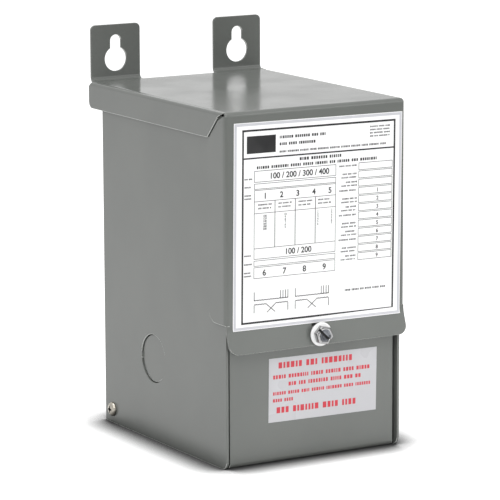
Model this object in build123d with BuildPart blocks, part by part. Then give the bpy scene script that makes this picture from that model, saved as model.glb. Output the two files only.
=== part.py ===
from build123d import *
import os

# Small wall-hung encapsulated transformer in a sheet-steel outdoor case.
# Millimetres, +Z up, front towards -Y. The origin is under the middle of the
# overall box, on the surface that the case stands on.

# Sheet metal
sheet = 1.5
bend_r = 2.5
lap_gap = 0.1

# Cover: top, front panel, side flanges, lip and hanging ears, one bent sheet
cover_width = 117.6
cover_depth = 159.0
case_height = 201.1
top_flange_drop = 15.7
front_flange_depth = 18.9
flange_bottom_z = 82.5
flange_corner_r = 7.0
drip_corner_r = 4.0
drip_back_cut = 3.0
miter_slit = 1.3
miter_mouth = 1.9
miter_knee_back = 7.7
miter_knee_drop = 3.8
miter_tip_back = 2.6
miter_tip_drop = 1.4

# Lip of the cover, over the top edge of the door
lip_bottom_z = 66.6
lip_flare = 4.4
lip_straight = 2.5
lip_bend_r = 14.0
lip_corner_r = 5.5
lip_side_inset = 0.6
lip_notch_width = 7.0

# Hanging ears and their keyholes
ear_top_z = 233.7
ear_width = 32.5
ear_spacing = 82.55
ear_corner_r = 3.0
ear_bend_r = 4.0
ear_shoulder = 5.5
keyhole_z = 213.3
keyhole_d = 14.4
keyslot_width = 7.1
keyslot_top_z = 227.5

# Wrap: left wall, back wall and right wall, one bent sheet
wrap_depth = 144.5
wall_toe_r = 5.0
wall_heel_r = 2.5
back_flange = 10.0
back_flange_short = 5.0

# Knockout for conduit, one in each side wall
knockout_d = 28.2
knockout_slit = 0.45
knockout_push = 0.9
knockout_tie = 3.5
knockout_from_front = 86.0
knockout_z = 48.2

# Potted core and coil, above the wiring space
core_bottom_z = 95.0
core_gap = 0.2
core_edge_r = 2.0

# Door: front panel, floor and two side flanges, one bent sheet
door_setback = 4.5
door_front_gap = 1.8
door_top_z = 78.0
door_bend_r = 3.0
door_corner_r = 2.5
door_side_gap = 0.5
door_floor_short = 10.6
door_flange_relief = 3.0

# Pivot of the door: a screw and a nut through each side wall
pivot_from_front = 136.2
pivot_z = 8.2
pivot_tab_r = 5.0
pivot_shank_d = 4.0
pivot_clearance = 0.1
pivot_head_d = 8.4
pivot_head_height = 2.4
pivot_head_chamfer = 0.8
pivot_recess_length = 4.6
pivot_recess_width = 1.2
pivot_recess_depth = 1.2
pivot_nut_flats = 7.0
pivot_nut_height = 3.2
pivot_nut_gap = 0.3
pivot_tip = 1.5

# Fit of a fixed screw in its hole
shank_fit = 0.05

# Screw that holds the door shut, and the clinch nut that it turns in
lock_z = 72.8
lock_shank_d = 5.0
lock_washer_d = 13.6
lock_washer_height = 1.3
lock_washer_chamfer = 0.4
lock_head_flats = 9.5
lock_head_height = 3.6
lock_head_chamfer = 0.5
lock_dish_d = 7.2
lock_dish_depth = 0.6
lock_slot_width = 1.4
lock_slot_depth = 1.8
lock_slot_turn = -43.0
lock_seat_gap = 0.1
lock_nut_d = 10.0
lock_nut_height = 4.0
lock_tip = 2.0

# Spacer that keeps the case plumb on a wall
spacer_width = 60.0
spacer_bottom_z = 14.0
spacer_face_height = 18.0
spacer_foot_height = 9.0

# Bonding screw in the wiring space
bond_x = -34.0
bond_z = 62.0
bond_shank_d = 5.0
bond_washer_d = 11.5
bond_washer_height = 1.2
bond_head_flats = 8.0
bond_head_height = 3.0
bond_tip = 3.0

# Places worked out from the sizes above
lock_proud = lip_flare + lock_seat_gap + lock_washer_height + lock_head_height
front_y = (lock_proud - cover_depth) / 2
back_y = front_y + cover_depth
top_under_z = case_height - sheet
half_cover = cover_width / 2
half_wrap = half_cover - sheet - lap_gap
half_inside = half_wrap - sheet
wrap_top_z = case_height - bend_r
wall_front_y = front_y + bend_r
wrap_back_y = wall_front_y + wrap_depth
back_inner_y = wrap_back_y - sheet
pivot_y = front_y + pivot_from_front
knockout_y = front_y + knockout_from_front
door_front_y = front_y + door_setback
half_door = half_inside - door_front_gap
half_tray = half_inside - door_side_gap
door_floor_end_y = pivot_y - door_floor_short
door_flange_top_z = pivot_z + pivot_tab_r
half_back_flange = half_inside - back_flange_short
lock_seat_y = front_y - lip_flare - lock_seat_gap

os.makedirs("parts", exist_ok=True)


def side_plane(x):
    """Plane across the object at x: its own X runs back and its Y runs up."""
    return Plane(origin=(x, 0, 0), x_dir=(0, 1, 0), z_dir=(1, 0, 0))


def front_plane(y):
    """Plane along the front at y: its own X runs right, its Y runs up, its normal forward."""
    return Plane(origin=(0, y, 0), x_dir=(1, 0, 0), z_dir=(0, -1, 0))


def edges_at(builder, axis, **place):
    """Edges of a piece along an axis whose middle lies at the X, Y or Z given."""
    near = 0.01
    found = builder.edges().filter_by(axis)
    return found.filter_by(
        lambda edge: all(abs(getattr(edge.center(), key) - value) < near for key, value in place.items())
    )


def corner_at(outline, along, up):
    """Corner of an outline at the two distances given in the outline's own plane."""
    return outline.vertices().sort_by_distance((along, up, 0))[0]


def finish(builder, name):
    """Name a finished piece and write it to its file."""
    builder.part.label = name
    export_step(builder.part, f"parts/{name}.step")


# Lip of the cover, flared forward so that the door's top edge swings clear of it
with BuildPart() as lip:
    with BuildSketch(side_plane(0)):
        with BuildLine():
            FilletPolyline(
                (front_y, flange_bottom_z),
                (front_y, flange_bottom_z - lip_straight),
                (front_y - lip_flare, lip_bottom_z),
                radius=lip_bend_r,
            )
            offset(amount=sheet, side=Side.LEFT)
        make_face()
    extrude(amount=half_cover - lip_side_inset, both=True)
    lip_ends = lip.faces().sort_by(Axis.Z)[0].edges().sort_by(Axis.X)
    fillet([lip_ends[0], lip_ends[-1]], lip_corner_r)

# Cover
with BuildPart() as cover:
    # Outer form with its rounded bends, less the hollow under it
    with BuildSketch(Plane.XY.offset(flange_bottom_z)):
        with Locations((0, (front_y + back_y) / 2)):
            Rectangle(cover_width, cover_depth)
    extrude(amount=case_height - flange_bottom_z)
    bends = edges_at(cover, Axis.Z, Y=front_y) + edges_at(cover, Axis.Y, Z=case_height)
    bends += edges_at(cover, Axis.X, Y=front_y, Z=case_height)
    fillet(bends, bend_r)
    with BuildPart(mode=Mode.PRIVATE) as hollow:
        with BuildSketch(Plane.XY.offset(flange_bottom_z - sheet)):
            with Locations((0, (front_y + back_y) / 2 + sheet)):
                Rectangle(cover_width - 2 * sheet, cover_depth)
        extrude(amount=top_under_z - flange_bottom_z + sheet)
        inner_bends = edges_at(hollow, Axis.Z, Y=front_y + sheet) + edges_at(hollow, Axis.Y, Z=top_under_z)
        inner_bends += edges_at(hollow, Axis.X, Y=front_y + sheet, Z=top_under_z)
        fillet(inner_bends, bend_r - sheet)
    add(hollow.part, mode=Mode.SUBTRACT)

    # Side flanges: a drip edge along the top and a lap down the front panel
    flange_back_y = front_y + front_flange_depth
    drip_z = case_height - top_flange_drop
    with BuildSketch(side_plane(-half_cover)) as flange_outline:
        with BuildLine():
            Polyline(
                (front_y, flange_bottom_z),
                (front_y, case_height),
                (back_y, case_height),
                (back_y, drip_z),
                (flange_back_y, drip_z),
                (flange_back_y, flange_bottom_z),
                close=True,
            )
        make_face()
        fillet(corner_at(flange_outline, flange_back_y, flange_bottom_z), flange_corner_r)
        fillet(corner_at(flange_outline, back_y, drip_z), drip_corner_r)
    extrude(amount=cover_width, mode=Mode.INTERSECT)

    # Open miter between the two flanges at each front corner, wider with round ends in the bend
    miter_tip = Vector(front_y + miter_tip_back, case_height - miter_tip_drop)
    miter_knee = Vector(front_y + miter_knee_back, case_height - miter_knee_drop)
    miter_corner = Vector(flange_back_y, drip_z)
    miter_end = miter_corner + (miter_corner - miter_knee).normalized() * miter_slit
    for side in (-1, 1):
        with BuildSketch(side_plane(side * (half_cover - bend_r))):
            with BuildLine():
                Line(miter_knee, miter_end)
            trace(line_width=miter_slit)
            with BuildLine():
                Line(miter_tip, miter_knee)
            trace(line_width=miter_mouth)
            with Locations(miter_tip, miter_knee):
                Circle(miter_mouth / 2)
        extrude(amount=side * (bend_r + sheet), mode=Mode.SUBTRACT)

    # Back edge of the top, set forward of the bend of the ears, and cut corners of the drip edges
    with BuildSketch(Plane.XY.offset(top_under_z)):
        with Locations((0, back_y)):
            Rectangle(2 * (half_cover - bend_r), ear_shoulder, align=(Align.CENTER, Align.MAX))
    extrude(amount=sheet, mode=Mode.SUBTRACT)
    with BuildSketch(side_plane(-half_cover)):
        with BuildLine():
            Polyline(
                (back_y, case_height),
                (back_y, case_height - drip_back_cut),
                (back_y - drip_back_cut, case_height),
                close=True,
            )
        make_face()
    extrude(amount=cover_width, mode=Mode.SUBTRACT)

    # Ears bent up from the top
    for side in (-1, 1):
        with BuildSketch(side_plane(side * ear_spacing / 2)):
            with BuildLine():
                FilletPolyline(
                    (back_y - 2 * ear_bend_r, top_under_z),
                    (back_y, top_under_z),
                    (back_y, ear_top_z),
                    radius=ear_bend_r,
                )
                offset(amount=sheet, side=Side.LEFT)
            make_face()
        extrude(amount=ear_width / 2, both=True)
    fillet(edges_at(cover, Axis.Y, Z=ear_top_z), ear_corner_r)
    keyslot_end_z = keyslot_top_z - keyslot_width / 2
    with BuildSketch(front_plane(back_y + sheet)):
        with Locations((-ear_spacing / 2, keyhole_z), (ear_spacing / 2, keyhole_z)):
            Circle(keyhole_d / 2)
        with Locations(
            (-ear_spacing / 2, (keyhole_z + keyslot_end_z) / 2),
            (ear_spacing / 2, (keyhole_z + keyslot_end_z) / 2),
        ):
            SlotCenterToCenter(keyslot_end_z - keyhole_z, keyslot_width, rotation=90)
    extrude(amount=3 * sheet, mode=Mode.SUBTRACT)

    # Lip, with a notch that lets the lock screw leave downwards
    add(lip.part)
    with BuildSketch(front_plane(front_y + door_setback)):
        with Locations((0, lock_z)):
            SlotCenterToCenter(2 * (lock_z - lip_bottom_z), lip_notch_width, rotation=90)
    extrude(amount=door_setback + lip_flare + sheet, mode=Mode.SUBTRACT)
finish(cover, "cover")

# Wrap: the two side walls and the back wall
with BuildPart() as wall_wrap:
    with BuildSketch():
        with BuildLine():
            FilletPolyline(
                (-half_wrap, wall_front_y),
                (-half_wrap, wrap_back_y),
                (half_wrap, wrap_back_y),
                (half_wrap, wall_front_y),
                radius=bend_r,
            )
            offset(amount=sheet, side=Side.RIGHT)
        make_face()
    extrude(amount=wrap_top_z)

    # Rounded toe and heel of the side walls
    with BuildSketch(side_plane(-half_wrap)) as wall_outline:
        with BuildLine():
            Polyline(
                (wall_front_y, 0),
                (wall_front_y, wrap_top_z),
                (wrap_back_y, wrap_top_z),
                (wrap_back_y, 0),
                close=True,
            )
        make_face()
        fillet(corner_at(wall_outline, wall_front_y, 0), wall_toe_r)
        fillet(corner_at(wall_outline, wrap_back_y, 0), wall_heel_r)
    extrude(amount=2 * half_wrap, mode=Mode.INTERSECT)

    # Back wall: a flange bent forward along its foot, with a relief at each end
    with BuildSketch(front_plane(wrap_back_y + sheet)):
        Rectangle(2 * half_inside, 2 * bend_r, align=(Align.CENTER, Align.MIN))
    extrude(amount=sheet + 2 * bend_r, mode=Mode.SUBTRACT)
    with BuildSketch(side_plane(0)):
        with BuildLine():
            FilletPolyline(
                (wrap_back_y - back_flange, 0),
                (wrap_back_y, 0),
                (wrap_back_y, 2 * bend_r),
                radius=bend_r,
            )
            offset(amount=sheet, side=Side.LEFT)
        make_face()
    extrude(amount=half_back_flange, both=True)

    # Knockouts: a disc pushed in a little and held by one tie at the back
    for side in (-1, 1):
        with BuildSketch(side_plane(side * half_inside)):
            with Locations((knockout_y, knockout_z)):
                Circle(knockout_d / 2)
        extrude(amount=side * sheet, mode=Mode.SUBTRACT)
        with BuildSketch(side_plane(side * (half_inside - knockout_push))):
            with Locations((knockout_y, knockout_z)):
                Circle(knockout_d / 2 - knockout_slit)
        extrude(amount=side * sheet)
        with BuildSketch(side_plane(side * half_inside)):
            with Locations((knockout_y, knockout_z)):
                Circle(knockout_d / 2)
                Circle(knockout_d / 2 - knockout_slit, mode=Mode.SUBTRACT)
                Rectangle(
                    knockout_d,
                    knockout_tie,
                    align=(Align.MIN, Align.CENTER),
                    mode=Mode.INTERSECT,
                )
        extrude(amount=side * sheet)

    # Holes for the pivot screws and the bonding screw
    with BuildSketch(side_plane(0)):
        with Locations((pivot_y, pivot_z)):
            Circle(pivot_shank_d / 2 + shank_fit)
    extrude(amount=half_cover, both=True, mode=Mode.SUBTRACT)
    with BuildSketch(front_plane(wrap_back_y)):
        with Locations((bond_x, bond_z)):
            Circle(bond_shank_d / 2 + shank_fit)
    extrude(amount=sheet, mode=Mode.SUBTRACT)
finish(wall_wrap, "wall_wrap")

# Potted core and coil
with BuildPart() as potted_core:
    core_front_y = wall_front_y + core_gap
    core_back_y = back_inner_y - core_gap
    with BuildSketch(Plane.XY.offset(core_bottom_z)):
        with Locations((0, (core_front_y + core_back_y) / 2)):
            Rectangle(2 * (half_inside - core_gap), core_back_y - core_front_y)
    extrude(amount=top_under_z - core_gap - core_bottom_z)
    fillet(potted_core.edges().filter_by(Axis.Z), core_edge_r)
finish(potted_core, "potted_core")

# Door
with BuildPart() as door:
    # Front panel and floor
    with BuildSketch(side_plane(0)):
        with BuildLine():
            FilletPolyline(
                (door_front_y, door_top_z),
                (door_front_y, 0),
                (door_floor_end_y, 0),
                radius=door_bend_r,
            )
            offset(amount=sheet, side=Side.LEFT)
        make_face()
    extrude(amount=half_door, both=True)
    fillet(edges_at(door, Axis.Y, Z=door_top_z), door_corner_r)

    # Side flanges behind the front panel
    flange_start_y = door_front_y + door_bend_r + door_flange_relief
    with BuildSketch(front_plane(door_floor_end_y)):
        with BuildLine():
            FilletPolyline(
                (-half_tray, door_flange_top_z),
                (-half_tray, 0),
                (half_tray, 0),
                (half_tray, door_flange_top_z),
                radius=bend_r,
            )
            offset(amount=sheet, side=Side.LEFT)
        make_face()
    extrude(amount=door_floor_end_y - flange_start_y)

    # Tabs that carry the flanges back to the pivot
    for side in (-1, 1):
        with BuildSketch(side_plane(side * half_tray)):
            with Locations((pivot_y, pivot_z)):
                Circle(pivot_tab_r)
                Rectangle(door_floor_short, 2 * pivot_tab_r, align=(Align.MAX, Align.CENTER))
                Circle(pivot_shank_d / 2 + pivot_clearance, mode=Mode.SUBTRACT)
        extrude(amount=-side * sheet)

    # Hole for the lock screw
    with BuildSketch(front_plane(door_front_y + sheet)):
        with Locations((0, lock_z)):
            Circle(lock_shank_d / 2 + shank_fit)
    extrude(amount=sheet, mode=Mode.SUBTRACT)
finish(door, "door")

# Lock screw: slotted hex head with a washer face, and its shank
with BuildPart() as lock_screw:
    with BuildSketch(front_plane(lock_seat_y)):
        with Locations((0, lock_z)):
            Circle(lock_washer_d / 2)
    extrude(amount=lock_washer_height)
    chamfer(lock_screw.edges().sort_by(Axis.Y)[0], lock_washer_chamfer)
    with BuildSketch(front_plane(lock_seat_y - lock_washer_height)):
        with Locations((0, lock_z)):
            RegularPolygon(lock_head_flats / 2, 6, major_radius=False, rotation=lock_slot_turn + 30)
    extrude(amount=lock_head_height)
    chamfer(lock_screw.faces().sort_by(Axis.Y)[0].edges(), lock_head_chamfer)
    lock_top_y = lock_seat_y - lock_washer_height - lock_head_height
    with BuildSketch(front_plane(lock_top_y)):
        with Locations((0, lock_z)):
            Circle(lock_dish_d / 2)
    extrude(amount=-lock_dish_depth, mode=Mode.SUBTRACT)
    with BuildSketch(front_plane(lock_top_y)):
        with Locations((0, lock_z)):
            Rectangle(lock_washer_d, lock_slot_width, rotation=lock_slot_turn)
    extrude(amount=-lock_slot_depth, mode=Mode.SUBTRACT)
    lock_shank = door_front_y + sheet + lock_nut_height + lock_tip - lock_seat_y
    with BuildSketch(front_plane(lock_seat_y)):
        with Locations((0, lock_z)):
            Circle(lock_shank_d / 2)
    extrude(amount=-lock_shank)
finish(lock_screw, "lock_screw")

# Clinch nut on the back of the door
with BuildPart() as lock_nut:
    with BuildSketch(front_plane(door_front_y + sheet)):
        with Locations((0, lock_z)):
            Circle(lock_nut_d / 2)
            Circle(lock_shank_d / 2 + shank_fit, mode=Mode.SUBTRACT)
    extrude(amount=-lock_nut_height)
    chamfer(lock_nut.edges().filter_by(GeomType.CIRCLE).group_by(Axis.Y)[-1][-1], shank_fit * 10)
finish(lock_nut, "lock_nut")

# Pivot screws and nuts
for side, name in ((-1, "left"), (1, "right")):
    nut_outer_x = half_tray - sheet - pivot_nut_gap
    with BuildPart() as pivot_screw:
        with BuildSketch(side_plane(side * half_wrap)):
            with Locations((pivot_y, pivot_z)):
                Circle(pivot_head_d / 2)
        extrude(amount=side * pivot_head_height)
        rim = pivot_screw.edges().sort_by(Axis.X)[-1 if side > 0 else 0]
        chamfer(rim, pivot_head_chamfer)
        with BuildSketch(side_plane(side * (half_wrap + pivot_head_height))):
            with Locations((pivot_y, pivot_z)):
                Rectangle(pivot_recess_length, pivot_recess_width)
                Rectangle(pivot_recess_width, pivot_recess_length)
        extrude(amount=-side * pivot_recess_depth, mode=Mode.SUBTRACT)
        with BuildSketch(side_plane(side * half_wrap)):
            with Locations((pivot_y, pivot_z)):
                Circle(pivot_shank_d / 2)
        extrude(amount=-side * (half_wrap - nut_outer_x + pivot_nut_height + pivot_tip))
    finish(pivot_screw, f"{name}_pivot_screw")

    with BuildPart() as pivot_nut:
        with BuildSketch(side_plane(side * nut_outer_x)):
            with Locations((pivot_y, pivot_z)):
                RegularPolygon(pivot_nut_flats / 2, 6, major_radius=False)
                Circle(pivot_shank_d / 2 + shank_fit, mode=Mode.SUBTRACT)
        extrude(amount=-side * pivot_nut_height)
    finish(pivot_nut, f"{name}_pivot_nut")

# Wall spacer: a hat-shaped channel welded to the back wall
with BuildPart() as wall_spacer:
    face_bottom_z = spacer_bottom_z + spacer_foot_height
    face_top_z = face_bottom_z + spacer_face_height
    with BuildSketch(side_plane(0)):
        with BuildLine():
            FilletPolyline(
                (wrap_back_y, spacer_bottom_z),
                (wrap_back_y, face_bottom_z),
                (back_y - sheet, face_bottom_z),
                (back_y - sheet, face_top_z),
                (wrap_back_y, face_top_z),
                (wrap_back_y, face_top_z + spacer_foot_height),
                radius=bend_r - sheet,
            )
            offset(amount=sheet, side=Side.RIGHT)
        make_face()
    extrude(amount=spacer_width / 2, both=True)
finish(wall_spacer, "wall_spacer")

# Bonding screw on the back wall, inside the wiring space
with BuildPart() as bond_screw:
    with BuildSketch(front_plane(back_inner_y)):
        with Locations((bond_x, bond_z)):
            Circle(bond_washer_d / 2)
    extrude(amount=bond_washer_height)
    with BuildSketch(front_plane(back_inner_y - bond_washer_height)):
        with Locations((bond_x, bond_z)):
            RegularPolygon(bond_head_flats / 2, 6, major_radius=False)
    extrude(amount=bond_head_height)
    with BuildSketch(front_plane(back_inner_y)):
        with Locations((bond_x, bond_z)):
            Circle(bond_shank_d / 2)
    extrude(amount=-(sheet + bond_tip))
finish(bond_screw, "bond_screw")
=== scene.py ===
# %% [markdown]
# # Dressing a small wall-hung transformer
# The object is a potted transformer in a case of bent sheet steel, about 200 mm high.
# Its construction comes ready made: every sheet, screw and nut is loaded as a fixed frame in
# metres, and this lesson gives each of them the surface and the fine form of the real one.
# Nothing that is loaded is moved. A piece is either given a material, or hidden and replaced by
# a finer piece that stands in the same place.

# %% Load the frame
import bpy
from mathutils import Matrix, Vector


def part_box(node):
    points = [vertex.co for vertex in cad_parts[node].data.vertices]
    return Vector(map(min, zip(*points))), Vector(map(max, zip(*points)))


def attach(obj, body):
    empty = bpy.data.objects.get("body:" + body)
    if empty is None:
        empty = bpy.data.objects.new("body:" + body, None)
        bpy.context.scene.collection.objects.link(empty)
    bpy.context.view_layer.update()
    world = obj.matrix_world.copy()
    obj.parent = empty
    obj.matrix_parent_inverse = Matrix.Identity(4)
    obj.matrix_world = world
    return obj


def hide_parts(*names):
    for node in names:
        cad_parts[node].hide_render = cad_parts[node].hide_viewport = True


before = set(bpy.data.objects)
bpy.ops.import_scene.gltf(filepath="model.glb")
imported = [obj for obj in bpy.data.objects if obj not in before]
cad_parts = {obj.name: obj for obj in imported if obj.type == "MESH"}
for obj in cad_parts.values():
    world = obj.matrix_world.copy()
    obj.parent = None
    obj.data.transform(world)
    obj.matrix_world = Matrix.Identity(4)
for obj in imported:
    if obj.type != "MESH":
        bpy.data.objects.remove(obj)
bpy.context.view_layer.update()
print("Nodes:", sorted(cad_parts))

# %% [markdown]
# ## Working in millimetres
# Sheet metal is drawn in millimetres and Blender counts in metres, so one named factor turns the
# one into the other. The places of the main faces are read from the frame's boxes, so that a
# new piece always sits on the metal that carries it.

# %% Main places on the case
import math
import random

import bpy
from mathutils import Vector

MM = 0.001
LIP_FLARE = 4.4 * MM

cover_low = Vector(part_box("cover")[0])
door_low = Vector(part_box("door")[0])
core_low, core_high = (Vector(corner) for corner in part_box("potted_core"))
cover_front = cover_low.y + LIP_FLARE
cover_left = cover_low.x
print("Cover front at y", round(cover_front / MM, 2), "mm")
print("Left side at x", round(cover_left / MM, 2), "mm")

# %% [markdown]
# ## Camera
# The photograph was taken with a long lens from the front left, a little above the case. The
# place was worked out from the straight edges of the case, so the camera is given as a position,
# a direction and the direction that is up in the picture. A long lens from far off keeps
# upright edges nearly parallel, which a short lens close by would not.

# %% Place the camera
CAMERA_FROM_CORNER = Vector((-854.089, -1473.390, 442.681)) * MM
CAMERA_LOOKS = Vector((0.49975213, 0.84659685, -0.18308902))
CAMERA_UP = Vector((0.0962157, 0.15581082, 0.98308979))
LENS = 227.6
SENSOR = 36.0
SEES_FROM = 0.05

camera_data = bpy.data.cameras.new("camera")
camera_data.lens = LENS
camera_data.sensor_width = SENSOR
camera_data.sensor_height = SENSOR
camera_data.clip_start = SEES_FROM
camera = bpy.data.objects.new("camera", camera_data)
bpy.context.collection.objects.link(camera)
side_axis = CAMERA_LOOKS.cross(CAMERA_UP).normalized()
up_axis = side_axis.cross(CAMERA_LOOKS).normalized()
for row in range(3):
    camera.matrix_world[row][0] = side_axis[row]
    camera.matrix_world[row][1] = up_axis[row]
    camera.matrix_world[row][2] = -CAMERA_LOOKS[row]
camera.location = CAMERA_FROM_CORNER + Vector((cover_left, cover_front, 0))
bpy.context.scene.camera = camera
print("Camera stands", round(camera.location.length, 2), "m away")

# %% [markdown]
# ## Hands for modelling
# Modelling by operators works on what is selected, as it does by hand. The frame's pieces are
# still selected after loading, so every step starts by selecting one piece only. Faces are
# picked in code by where their middle lies and which way they look.

# %% Helpers for selecting and editing
def only(piece):
    """Select one piece and nothing else."""
    bpy.ops.object.select_all(action="DESELECT")
    piece.select_set(True)
    bpy.context.view_layer.objects.active = piece


def edit(piece):
    """Open one piece for editing with nothing in it selected."""
    only(piece)
    bpy.ops.object.mode_set(mode="EDIT")
    bpy.ops.mesh.select_all(action="DESELECT")


def leave():
    """Close the piece that is open."""
    bpy.ops.object.mode_set(mode="OBJECT")


def pick_faces(piece, wanted):
    """Select the faces that a test on middle and normal wants, and stay in edit mode."""
    leave()
    for face in piece.data.polygons:
        face.select = wanted(face.center, face.normal)
    bpy.ops.object.mode_set(mode="EDIT")
    bpy.ops.mesh.select_mode(type="FACE")


def named(name):
    """Name the piece that was added last."""
    piece = bpy.context.object
    piece.name = name
    piece.data.name = name
    return piece


def settle(piece):
    """Write place, turn and scale into the mesh, so that the piece stands at the origin."""
    only(piece)
    bpy.ops.object.transform_apply(location=True, rotation=True, scale=True)


def apply_modifiers(piece):
    """Apply every modifier in order."""
    only(piece)
    for modifier in list(piece.modifiers):
        bpy.ops.object.modifier_apply(modifier=modifier.name)


def merge_doubles(piece, near=0.001 * MM):
    """Join points that lie on each other."""
    edit(piece)
    bpy.ops.mesh.select_all(action="SELECT")
    bpy.ops.mesh.remove_doubles(threshold=near)
    leave()


def outwards(piece):
    """Turn every face of a closed piece outwards."""
    edit(piece)
    bpy.ops.mesh.select_all(action="SELECT")
    bpy.ops.mesh.normals_make_consistent(inside=False)
    leave()


def smooth(piece, degrees=30):
    """Shade smoothly across all but the sharp edges."""
    only(piece)
    bpy.ops.object.shade_smooth_by_angle(angle=math.radians(degrees))


def even_shading(piece):
    """Let the large faces set the normals, so that a flat sheet is shaded flat up to its bends."""
    weigh = piece.modifiers.new("weigh", "WEIGHTED_NORMAL")
    weigh.keep_sharp = True
    apply_modifiers(piece)


BEVEL_STEPS = 2
SHARP_FROM = 35


def round_edges(piece, width, material=-1):
    """Round the sharp edges of a piece with a bevel that is applied."""
    bevel = piece.modifiers.new("edges", "BEVEL")
    bevel.material = material
    bevel.width = width
    bevel.segments = BEVEL_STEPS
    bevel.limit_method = "ANGLE"
    bevel.angle_limit = math.radians(SHARP_FROM)
    bevel.use_clamp_overlap = False
    apply_modifiers(piece)


def report(piece):
    """Print what a piece measures."""
    size = [round(length / MM, 2) for length in piece.dimensions]
    print(piece.name, "measures", size, "mm with", len(piece.data.polygons), "faces")


# %% [markdown]
# ## Nodes for shaders
# A material is a net of nodes. Three kinds of node come back again and again in this scene, so
# each has a helper that adds the node, fills its inputs and returns what comes out of it. An
# input takes either a plain value or the output of another node.

# %% Helpers for shader nodes
def feed(tree, socket, value):
    """Link an output to a socket, or set the socket where the value is a plain one."""
    if isinstance(value, bpy.types.NodeSocket):
        tree.links.new(value, socket)
    else:
        socket.default_value = value


def calculated(tree, operation, first, second):
    """What a Math node makes of two values."""
    step = tree.nodes.new("ShaderNodeMath")
    step.operation = operation
    feed(tree, step.inputs[0], first)
    feed(tree, step.inputs[1], second)
    return step.outputs[0]


def ranged(tree, value, span=(0.0, 1.0), onto=(0.0, 1.0)):
    """A value carried from one span onto another, and held at the ends."""
    step = tree.nodes.new("ShaderNodeMapRange")
    for label, limit in zip(("From Min", "From Max", "To Min", "To Max"), span + onto):
        step.inputs[label].default_value = limit
    feed(tree, step.inputs["Value"], value)
    return step.outputs["Result"]


def mixed(tree, share, first, second):
    """Two colours mixed by a mask."""
    step = tree.nodes.new("ShaderNodeMix")
    step.data_type = "RGBA"
    for place, value in ((0, share), (6, first), (7, second)):
        feed(tree, step.inputs[place], value)
    return step.outputs[2]


# %% [markdown]
# ## Floor, light and background
# The photograph is a cut-out on white with a faint shadow where the case stands. A pale floor
# under an even white sky gives that light. Close to the case an ambient occlusion mask paints the
# floor's colour darker, a painted shadow that deepens the thin real shadow along the foot.

# %% Lay the floor
FLOOR_SIZE = 60.0
FLOOR_COLOR = (0.86, 0.86, 0.86, 1.0)
FLOOR_SHADOW_TONE = (0.08, 0.08, 0.08, 1.0)
CLOSE_REACH = 24 * MM
CLOSE_SPAN = (0.5, 1.0)
CLOSE_POWER = 1.5

bpy.ops.object.select_all(action="DESELECT")
bpy.ops.mesh.primitive_plane_add(size=FLOOR_SIZE, location=(0, 0, 0))
floor = named("floor")
floor_paint = bpy.data.materials.new("floor_paint")
floor_paint.use_nodes = True
paint = floor_paint.node_tree
paint.nodes.clear()
# The ambient occlusion mask darkens the floor's colour near the case: a painted shadow.
close_by = paint.nodes.new("ShaderNodeAmbientOcclusion")
close_by.inputs["Distance"].default_value = CLOSE_REACH
openness = ranged(paint, close_by.outputs["AO"], CLOSE_SPAN)
clear = calculated(paint, "POWER", openness, CLOSE_POWER)
floor_diffuse = paint.nodes.new("ShaderNodeBsdfDiffuse")
feed(paint, floor_diffuse.inputs["Color"], mixed(paint, clear, FLOOR_SHADOW_TONE, FLOOR_COLOR))
print("Floor", FLOOR_SIZE, "m wide, darker within", round(CLOSE_REACH / MM), "mm of the case")

# %% [markdown]
# The floor adds a little plain white for the camera and in mirrored rays, just enough that the
# unshaded floor comes out white and the shadow stays. It lights the object only by its gloss.

# %% Whiten the floor where it is seen
FLOOR_GLOW = 0.5

floor_rays = paint.nodes.new("ShaderNodeLightPath")
from_metal = floor_rays.outputs["Is Glossy Ray"]
direct = calculated(paint, "MAXIMUM", floor_rays.outputs["Is Camera Ray"], from_metal)
seen = calculated(paint, "MULTIPLY", direct, FLOOR_GLOW)
floor_glow = paint.nodes.new("ShaderNodeEmission")
feed(paint, floor_glow.inputs["Strength"], calculated(paint, "MULTIPLY", seen, clear))
floor_sum = paint.nodes.new("ShaderNodeAddShader")
paint.links.new(floor_diffuse.outputs[0], floor_sum.inputs[0])
paint.links.new(floor_glow.outputs[0], floor_sum.inputs[1])
print("Floor adds", FLOOR_GLOW, "of white")

# %% [markdown]
# Enamel mirrors whatever lies far before it, and that was dark when the photograph was taken, or
# the front would be paler. So in mirrored rays the floor fades to nearly black there, while the
# camera still sees it white.

# %% Darken the far floor in the metal
LIGHT_FROM = -0.3
DARK_FROM = -0.65
FAR_LIGHT = 0.05

floor_place = paint.nodes.new("ShaderNodeTexCoord")
floor_axes = paint.nodes.new("ShaderNodeSeparateXYZ")
paint.links.new(floor_place.outputs["Object"], floor_axes.inputs[0])
fading = ranged(paint, floor_axes.outputs["Y"], (LIGHT_FROM, DARK_FROM))
far_floor = paint.nodes.new("ShaderNodeEmission")
far_floor.inputs["Strength"].default_value = FAR_LIGHT
floor_mix = paint.nodes.new("ShaderNodeMixShader")
feed(paint, floor_mix.inputs["Fac"], calculated(paint, "MULTIPLY", from_metal, fading))
paint.links.new(floor_sum.outputs[0], floor_mix.inputs[1])
paint.links.new(far_floor.outputs[0], floor_mix.inputs[2])
floor_out = paint.nodes.new("ShaderNodeOutputMaterial")
paint.links.new(floor_mix.outputs[0], floor_out.inputs["Surface"])
floor.data.materials.append(floor_paint)
print("Dark in the metal beyond y", DARK_FROM, "m")

# %% [markdown]
# The sky lights the object evenly and a little dimmer than white. Where it is seen, straight or
# in metal, it is plain white.

# %% Hang the sky
SKY_LIGHT = 0.64

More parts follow.
